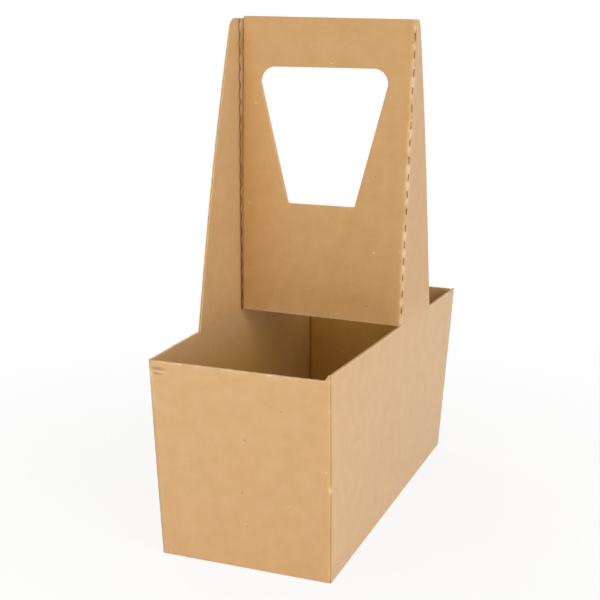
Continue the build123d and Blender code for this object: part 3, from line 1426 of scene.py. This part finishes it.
    def place(self, flat: np.ndarray, depth: np.ndarray, layer: Layer) -> np.ndarray:
        """Folds the panel square across the carrier along the leaning line of the wing's edge.

        Args:
            flat: Places from the fold along the leaf and heights, one row each.
            depth: Depth of each point below the outer face.
            layer: Face that the points are on.

        Returns:
            Points in millimetres, one row each.
        """
        s, radius, bend = self.sizes, self.sizes.fold_radius, self.bend_length
        a, z = flat.T
        wall = s.half_width(z)
        angle = (-a / bend).clip(0, 1) * math.pi / 2
        x = wall - radius + (radius - depth) * np.cos(angle)
        y = self.hinge_gap - (radius - depth) * np.sin(angle)
        y = np.where(a > 0, self.hinge_gap + a, y)
        x = np.where(a < -bend, wall - radius + a + bend, x)
        if layer is Layer.INNER_LINER:
            swell = self.pucker * self.bridges(z) * bell(self.from_corner(a), 0.7)
            x = x - 0.7 * swell
            y = y + 0.3 * swell
        else:
            bead = self.bead * self.bridges(z) * bell(a + bend / 2, 0.9)
            x = x - self.bead * smooth((z - s.middle_rim - 1.0) / 25.0) + bead
        x = x - self.curl * self.risen(z) ** 2 * smooth((a - 1.0) / 9.0)
        sign = self.side.value
        above_hole = smooth((z - s.overall_height + self.hole_top_margin) / (0.7 * self.hole_top_margin))
        z = z - self.sag * (-(a + bend) / (2 * wall)).clip(0, 1) * above_hole
        return np.column_stack((sign * x, sign * y + self.spring.lean(z), z))


@dataclass
class SideBaseFlap(CardSheet):
    """Wide base flap of a side wall, with the hooked edge that locks it to its twin."""

    side: Side = Side.RIGHT
    seam: float = 1.0
    seam_offset: float = 11.0
    seam_jog: float = 9.0
    tip_radius: float = 2.0
    hook_radius: float = 1.0
    hook_slack: float = 0.25
    corner_gap: float = 0.7
    grid: float = 4.0
    edge_step: float = 2.0

    def loops(self) -> list[np.ndarray]:
        """Draws the flap from its fold round the hooked edge, as places along and in from the fold.

        Returns:
            The outline alone.
        """
        s = self.sizes
        half, reach = s.base_width / 2, s.base_length / 2 - s.board
        inner, fold_end = half - s.board, reach - self.corner_gap
        edge = self.seam_offset - self.seam / 2
        far_edge = edge + self.seam
        plan = [
            (half, -fold_end, 0),
            (half, fold_end, 0),
            (inner, fold_end, 0),
            (far_edge, reach - inner + far_edge, self.tip_radius),
            (far_edge, self.seam_jog - self.hook_slack, self.hook_radius),
            (-edge, -self.seam_jog - self.hook_slack, self.hook_radius),
            (-edge, inner - reach - edge, self.tip_radius),
            (inner, -fold_end, 0),
        ]
        return [stepped(rounded([(y, x - half, r) for x, y, r in plan]), self.edge_step)]

    def seeds(self) -> np.ndarray:
        """Lays a grid over the flap, closer at its fold.

        Returns:
            The points, one row each.
        """
        reach = self.sizes.base_length / 2
        columns = list(np.arange(-reach, reach, self.grid))
        fold = self.grid_points(columns, -2.0, 0.0, 0.27)
        return np.vstack((fold, self.grid_points(columns, -60.0, -3.0, self.grid)))

    def blank(self, flat: np.ndarray) -> np.ndarray:
        """The flap lies below its own side wall on the sheet."""
        return flat + np.array((self.sizes.wall_middle(self.side), 0.0))

    def place(self, flat: np.ndarray, depth: np.ndarray, layer: Layer) -> np.ndarray:
        """Turns the flap in under the tub, past the second half of the base's round.

        Args:
            flat: Places along the fold and in from it, one row each.
            depth: Depth of each point below the outer face.
            layer: Face that the points are on.

        Returns:
            Points in millimetres, one row each.
        """
        s, base = self.sizes, self.sizes.base_fold_radius
        y, up = flat.T
        turn = (0.5 + (-up / base).clip(0, 1) * 0.5) * math.pi / 2
        _, inset, z = self.base_round(depth, turn)
        inset = inset + (-up - base).clip(0, None)
        x = s.half_width(z.clip(0, None)) - inset
        return np.column_stack((self.side.value * x, self.side.value * y, z))


@dataclass
class EndBaseFlap(CardSheet):
    """Narrowing base flap of an end wall, which lies on the wide flaps inside the tub."""

    end: End = End.FRONT
    depth_in: float = 58.0
    tip_width: float = 30.0
    tip_radius: float = 5.0
    shoulder: float = 2.0
    corner_gap: float = 0.7
    grid: float = 4.0
    edge_step: float = 2.0

    def loops(self) -> list[np.ndarray]:
        """Draws the flap from its fold to the narrow tip, as places along and in from the fold.

        Returns:
            The outline alone.
        """
        half = self.sizes.base_width / 2 - self.sizes.board - self.corner_gap
        tip = self.tip_width / 2
        plan = [
            (half, 0.0, 0),
            (-half, 0.0, 0),
            (-half, -self.shoulder, 0),
            (-tip, -self.depth_in, self.tip_radius),
            (tip, -self.depth_in, self.tip_radius),
            (half, -self.shoulder, 0),
        ]
        return [stepped(rounded(plan), self.edge_step)]

    def seeds(self) -> np.ndarray:
        """Lays a grid over the flap, closer at its fold and where it climbs on the wide flaps.

        Returns:
            The points, one row each.
        """
        columns = list(np.arange(-40.0, 40.1, self.grid))
        fold = self.grid_points(columns, -5.5, 0.0, 0.4)
        return np.vstack((fold, self.grid_points(columns, -self.depth_in, -7.0, self.grid)))

    def blank(self, flat: np.ndarray) -> np.ndarray:
        """The flap lies below its own end wall on the sheet."""
        start = self.sizes.rim_width + self.sizes.rim_length if self.end is End.FRONT else 0.0
        return flat + np.array((start + self.sizes.rim_width / 2, 0.0))

    def place(self, flat: np.ndarray, depth: np.ndarray, layer: Layer) -> np.ndarray:
        """Turns the flap in under the tub and lifts it by a board on to the wide flaps.

        Args:
            flat: Places along the fold and in from it, one row each.
            depth: Depth of each point below the outer face.
            layer: Face that the points are on.

        Returns:
            Points in millimetres, one row each.
        """
        s, base = self.sizes, self.sizes.base_fold_radius
        along, up = flat.T
        turn = (0.5 + (-up / base).clip(0, 1) * 0.5) * math.pi / 2
        _, inset, z = self.base_round(depth, turn)
        z = z + s.board * smooth((-up - base) / 3.0)
        inset = inset + (-up - base).clip(0, None)
        out = s.half_length(z.clip(0, None)) - inset
        return np.column_stack((-self.end.value * along, self.end.value * out, z))


@dataclass(frozen=True)
class Softbox:
    """A square soft lamp, set by its angle round the carrier, its distance and size in metres."""

    name: str
    azimuth: float
    elevation: float
    distance: float
    size: float
    power: float

    def build(self, aim: Vector) -> bpy.types.Object:
        """Hangs the lamp and turns it towards a place.

        Args:
            aim: The place in metres.

        Returns:
            The lamp.
        """
        a, e = math.radians(self.azimuth), math.radians(self.elevation)
        back = Vector((math.sin(a) * math.cos(e), -math.cos(a) * math.cos(e), math.sin(e)))
        lamp = bpy.data.lights.new(self.name, "AREA")
        lamp.shape = "SQUARE"
        lamp.size = self.size
        lamp.energy = self.power
        box = bpy.data.objects.new(self.name, lamp)
        box.location = aim + back * self.distance
        box.rotation_mode = "QUATERNION"
        box.rotation_quaternion = (-back).to_track_quat("-Z", "Y")
        bpy.context.scene.collection.objects.link(box)
        return box


@dataclass
class Studio:
    """Plain pale floor, soft lamps and the camera at the photograph's angle."""

    azimuth: float = 20.48
    elevation: float = 12.79
    roll: float = 0.85
    distance: float = 607.0
    target: tuple[float, float, float] = (-11.78, 0.0, 106.98)
    focal_pixels: float = 1141.8
    frame_pixels: float = 600.0
    sensor: float = 36.0
    # Metres: the floor, how far out the shadow still shows, and the height that the lamps aim at
    floor_size: float = 12.0
    shadow_reach: float = 0.42
    lamp_aim: float = 0.11
    # Light: the floor's own white near the carrier, the light from above, and the ceiling in view
    floor_white: float = 0.85
    sky_light: float = 0.64
    ceiling: float = 0.15
    lamps: tuple[Softbox, ...] = (
        Softbox("key_softbox", azimuth=62.0, elevation=9.0, distance=1.8, size=1.3, power=26.5),
        Softbox("fill_softbox", azimuth=-12.0, elevation=28.0, distance=1.8, size=1.2, power=5.6),
        Softbox("front_reflector", azimuth=-22.0, elevation=0.0, distance=0.45, size=0.35, power=0.3),
        Softbox("back_softbox", azimuth=222.0, elevation=28.0, distance=1.8, size=1.2, power=9.0),
    )

    def seen(self, tree: bpy.types.NodeTree) -> bpy.types.NodeSocket:
        """Tells the rays that the eye follows, straight, by reflection or through, from the rest.

        Args:
            tree: The node tree that asks.

        Returns:
            Socket that is 1 for camera, glossy and transmission rays.
        """
        path = add_node(tree, "ShaderNodeLightPath")
        both = add_node(
            tree,
            "ShaderNodeMath",
            {"operation": "MAXIMUM"},
            {0: path.outputs["Is Camera Ray"], 1: path.outputs["Is Glossy Ray"]},
        )
        three = add_node(
            tree,
            "ShaderNodeMath",
            {"operation": "MAXIMUM"},
            {0: both.outputs["Value"], 1: path.outputs["Is Transmission Ray"]},
        )
        return three.outputs["Value"]

    def build_world(self) -> None:
        """A white room to the eye and in reflections, dimmer overhead, and soft light from above."""
        world = bpy.data.worlds.new("studio_white")
        world.use_nodes = True
        tree = world.node_tree
        tree.nodes.clear()
        way = add_node(tree, "ShaderNodeTexCoord")
        apart = add_node(tree, "ShaderNodeSeparateXYZ", inputs={0: way.outputs["Generated"]})
        levels = []
        for low, high in ((0.0, self.sky_light), (1.0, self.ceiling)):
            overhead = add_node(
                tree,
                "ShaderNodeMapRange",
                {"interpolation_type": "SMOOTHSTEP"},
                {
                    "Value": apart.outputs["Z"],
                    "From Min": 0.3,
                    "From Max": 0.7,
                    "To Min": low,
                    "To Max": high,
                },
            )
            level = add_node(
                tree,
                "ShaderNodeBackground",
                inputs={"Color": linear("#FFFFFF"), "Strength": overhead.outputs["Result"]},
            )
            levels.append(level.outputs[0])
        both = add_node(
            tree,
            "ShaderNodeMixShader",
            inputs={0: self.seen(tree), 1: levels[0], 2: levels[1]},
        )
        add_node(tree, "ShaderNodeOutputWorld", inputs={"Surface": both.outputs[0]})
        bpy.context.scene.world = world

    def beyond_base(self, tree: bpy.types.NodeTree, place: bpy.types.NodeSocket) -> bpy.types.NodeSocket:
        """Parts the floor under the carrier, which is dark, from the open floor.

        Args:
            tree: The floor's node tree.
            place: Socket of the place on the floor, in metres.

        Returns:
            Socket that is 0 under the carrier and 1 outside it.
        """
        size = CartonSizes()
        reach = add_node(
            tree,
            "ShaderNodeVectorMath",
            {"operation": "MULTIPLY"},
            {0: place, 1: (2 / size.base_width / MM, 2 / size.base_length / MM, 0.0)},
        )
        out = add_node(
            tree,
            "ShaderNodeVectorMath",
            {"operation": "ABSOLUTE"},
            {0: reach.outputs["Vector"]},
        )
        apart = add_node(tree, "ShaderNodeSeparateXYZ", inputs={0: out.outputs["Vector"]})
        most = add_node(
            tree,
            "ShaderNodeMath",
            {"operation": "MAXIMUM"},
            {0: apart.outputs["X"], 1: apart.outputs["Y"]},
        )
        edge = add_node(
            tree,
            "ShaderNodeMapRange",
            inputs={"Value": most.outputs["Value"], "From Min": 0.95, "From Max": 0.98},
        )
        return edge.outputs["Result"]

    def build_floor(self) -> bpy.types.Object:
        """A white paper sweep, white to the eye alone, that keeps the carrier's soft shadow.

        Returns:
            The floor.
        """
        half = self.floor_size / 2
        mesh = bpy.data.meshes.new("studio_floor")
        corners = [(-half, -half, 0), (half, -half, 0), (half, half, 0), (-half, half, 0)]
        mesh.from_pydata(corners, [], [(0, 1, 2, 3)])
        floor = bpy.data.objects.new("studio_floor", mesh)
        bpy.context.scene.collection.objects.link(floor)
        paper = bpy.data.materials.new("white_paper_sweep")
        paper.use_nodes = True
        tree = paper.node_tree
        tree.nodes.clear()
        # Matt paper has no glint; lit evenly to white, it shows the eye only the shadow near the base
        matt = add_node(tree, "ShaderNodeBsdfDiffuse", inputs={"Color": linear("#F7F6F4")})
        glow = add_node(tree, "ShaderNodeEmission", inputs={"Color": linear("#FFFFFF"), "Strength": 1.0})
        place = add_node(tree, "ShaderNodeTexCoord")
        far = add_node(tree, "ShaderNodeVectorMath", {"operation": "LENGTH"}, {0: place.outputs["Object"]})
        fade = add_node(
            tree,
            "ShaderNodeMapRange",
            {"interpolation_type": "SMOOTHSTEP"},
            {
                "Value": far.outputs["Value"],
                "From Min": 0.1,
                "From Max": self.shadow_reach,
                "To Min": self.floor_white,
                "To Max": 1.0,
            },
        )
        open_floor = self.beyond_base(tree, place.outputs["Object"])
        white = add_node(
            tree,
            "ShaderNodeMath",
            {"operation": "MULTIPLY"},
            {0: fade.outputs["Result"], 1: open_floor},
        )
        share = add_node(
            tree,
            "ShaderNodeMath",
            {"operation": "MULTIPLY"},
            {0: white.outputs["Value"], 1: self.seen(tree)},
        )
        both = add_node(
            tree,
            "ShaderNodeMixShader",
            inputs={0: share.outputs["Value"], 1: matt.outputs[0], 2: glow.outputs[0]},
        )
        add_node(tree, "ShaderNodeOutputMaterial", inputs={"Surface": both.outputs[0]})
        mesh.materials.append(paper)
        return floor

    def build_lamps(self) -> None:
        """The soft boxes, each aimed at the middle of the carrier."""
        for lamp in self.lamps:
            lamp.build(Vector((0, 0, self.lamp_aim)))

    def build_camera(self) -> None:
        """The camera, set by its angle round the carrier, height, roll and distance."""
        a, e, r = (math.radians(v) for v in (self.azimuth, self.elevation, self.roll))
        back = Vector((math.sin(a) * math.cos(e), -math.cos(a) * math.cos(e), math.sin(e)))
        right = Vector((0, 0, 1)).cross(back).normalized()
        up = back.cross(right)
        across = right * math.cos(r) + up * math.sin(r)
        over = up * math.cos(r) - right * math.sin(r)
        place = (Vector(self.target) + back * self.distance) * MM
        data = bpy.data.cameras.new("photo_camera")
        data.sensor_fit = "HORIZONTAL"
        data.sensor_width = self.sensor
        data.lens = self.sensor * self.focal_pixels / self.frame_pixels
        data.clip_start, data.clip_end = 0.01, 50.0
        camera = bpy.data.objects.new("photo_camera", data)
        turn = Matrix((across, over, back)).transposed().to_4x4()
        camera.matrix_world = Matrix.Translation(place) @ turn
        bpy.context.scene.collection.objects.link(camera)
        bpy.context.scene.camera = camera


def main() -> None:
    """Builds the carrier's parts in order, then the studio."""
    logging.basicConfig(level=logging.INFO, format="%(name)s: %(message)s")
    sizes = CartonSizes()
    spring = SprungCard(sizes)
    finishes = [
        # The outside carries a painted shade above the rim, the inside one from below the rim down into
        # the tub
        KraftLiner("kraft_liner_outside", "#F2EACF", 92.0, 112.0).material(),
        KraftLiner("kraft_liner_inside", "#FFFAA9", 96.0, 66.0, "#C9A069", "#C2985F").material(),
        CutFlutedEdge(board=sizes.board).material(),
    ]
    parts: list[CardSheet] = [
        TubWalls("tub_walls", sizes, spring),
        HandleLeaf("handle_leaf_right", sizes, spring, side=Side.RIGHT, curl=0.7, hole_offset=0.56),
        HandleLeaf("handle_leaf_left", sizes, spring, side=Side.LEFT, sag=1.3, wing_foot=50.6),
        SideBaseFlap("base_flap_right", sizes, spring, side=Side.RIGHT),
        SideBaseFlap("base_flap_left", sizes, spring, side=Side.LEFT),
        EndBaseFlap("base_flap_front", sizes, spring, end=End.FRONT),
        EndBaseFlap("base_flap_back", sizes, spring, end=End.BACK),
    ]
    for part in parts:
        made = part.dress(part.build(), finishes)
        LOG.info("%s: %d points, %d faces", made.name, len(made.data.vertices), len(made.data.polygons))
    studio = Studio()
    studio.build_world()
    studio.build_floor()
    studio.build_lamps()
    studio.build_camera()
    bpy.context.scene.view_settings.view_transform = "Standard"


if __name__ == "__main__":
    main()
